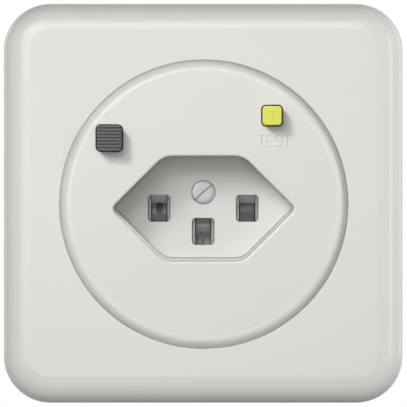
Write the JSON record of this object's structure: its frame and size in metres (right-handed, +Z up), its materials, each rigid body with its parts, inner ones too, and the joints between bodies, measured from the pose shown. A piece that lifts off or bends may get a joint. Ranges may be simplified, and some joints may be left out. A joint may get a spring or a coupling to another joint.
{
  "type": "wall socket outlet with residual current protection",
  "caption": "Square white flush wall socket outlet: round centre plate, sunk six-sided plug recess, black reset button and yellow test button for its residual current trip.",
  "frame": {"origin": "centre of the mounting strap's back face, on the plane of the wall", "axes": "+Z up the wall, +X to the right seen from the room, +Y into the wall"},
  "size_m": [0.086, 0.0557, 0.086],
  "materials": {
    "white_plastic": "gloss white thermoplastic",
    "black_button": "satin black plastic with ribs",
    "yellow_button": "gloss yellow plastic",
    "plated_screw": "nickel-plated steel",
    "zinc_steel": "zinc-plated sheet steel",
    "grey_housing": "matt grey thermoset",
    "light_housing": "matt off-white thermoplastic",
    "brass": "bare brass sheet",
    "tinned_brass": "tin-plated brass sheet",
    "copper": "bare copper",
    "silver_contact": "silver alloy",
    "spring_steel": "bare spring steel",
    "black_plastic": "matt black plastic",
    "ring_core": "dark magnetic tape ring",
    "board_green": "glass-fibre laminate",
    "capacitor_red": "dipped film capacitor",
    "varistor_blue": "dipped disc",
    "resistor_tan": "lacquered resistor body"
  },
  "bodies": {
    "outlet": {"cover_frame": "white_plastic", "centre_plate": "white_plastic", "cover_screw": "plated_screw", "screw_insert": "brass", "mounting_strap": "zinc_steel", "front_housing": "light_housing", "rear_housing": "grey_housing", "housing_screws": "plated_screw", "line_tulip": "tinned_brass", "neutral_tulip": "tinned_brass", "earth_tulip": "tinned_brass", "tulip_clips": "spring_steel", "line_bar": "copper", "neutral_bar": "copper", "fixed_contacts": "silver_contact", "guide_pins": "zinc_steel", "opening_springs": "spring_steel", "rocker_pin": "zinc_steel", "relay_case": "black_plastic", "relay_coil": "copper", "relay_magnet": "ring_core", "reset_spring": "spring_steel", "test_spring": "spring_steel", "leaf_anchor": "brass", "test_contact": "brass", "test_resistor": "resistor_tan", "sense_core": "ring_core", "sense_winding": "copper", "primary_sleeve": "light_housing", "circuit_board": "board_green", "capacitor": "capacitor_red", "varistor": "varistor_blue", "rectifier": "black_plastic", "control_chip": "black_plastic", "terminal_cages": "brass", "terminal_screws": "plated_screw"},
    "reset_button": {"reset_button": "black_button"},
    "rocker": {"rocker": "black_plastic"},
    "contact_carrier": {"contact_carrier": "light_housing", "line_bridge": "copper", "neutral_bridge": "copper"},
    "trip_plunger": {"trip_plunger": "zinc_steel"},
    "test_button": {"test_button": "yellow_button"},
    "test_leaf": {"test_leaf": "brass"}
  },
  "joints": [
    {"name": "reset_press", "type": "slide", "parent": "outlet", "child": "reset_button", "axis": [0, 1, 0], "range_m": [0, 0.0025], "stiffness_N_per_m": 400, "deforming": ["reset_spring"]},
    {"name": "rocker_turn", "type": "hinge", "parent": "outlet", "child": "rocker", "pos_m": [-0.0082, 0.0301, 0.0106], "axis": [0, 0, -1], "range_deg": [0, 17.5]},
    {"name": "carrier_close", "type": "slide", "parent": "outlet", "child": "contact_carrier", "axis": [0, -1, 0], "range_m": [0, 0.0025], "deforming": ["opening_springs"]},
    {"name": "plunger_push", "type": "slide", "parent": "outlet", "child": "trip_plunger", "axis": [0, 1, 0], "range_m": [0, 0.0019]},
    {"name": "test_press", "type": "slide", "parent": "outlet", "child": "test_button", "axis": [0, 1, 0], "range_m": [0, 0.0015], "stiffness_N_per_m": 500, "deforming": ["test_spring"]},
    {"name": "test_leaf_flex", "type": "hinge", "parent": "outlet", "child": "test_leaf", "pos_m": [0.006, 0.00815, 0.0154], "axis": [0, 0, 1], "range_deg": [0, 14.6]}
  ],
  "couplings": [
    {"joint": "rocker_turn", "follows": "reset_press", "rad_per_m": 121.95},
    {"joint": "carrier_close", "follows": "reset_press", "ratio": 1},
    {"joint": "plunger_push", "follows": "reset_press", "ratio": 0.76},
    {"joint": "test_leaf_flex", "follows": "test_press", "rad_per_m": 169.49}
  ]
}
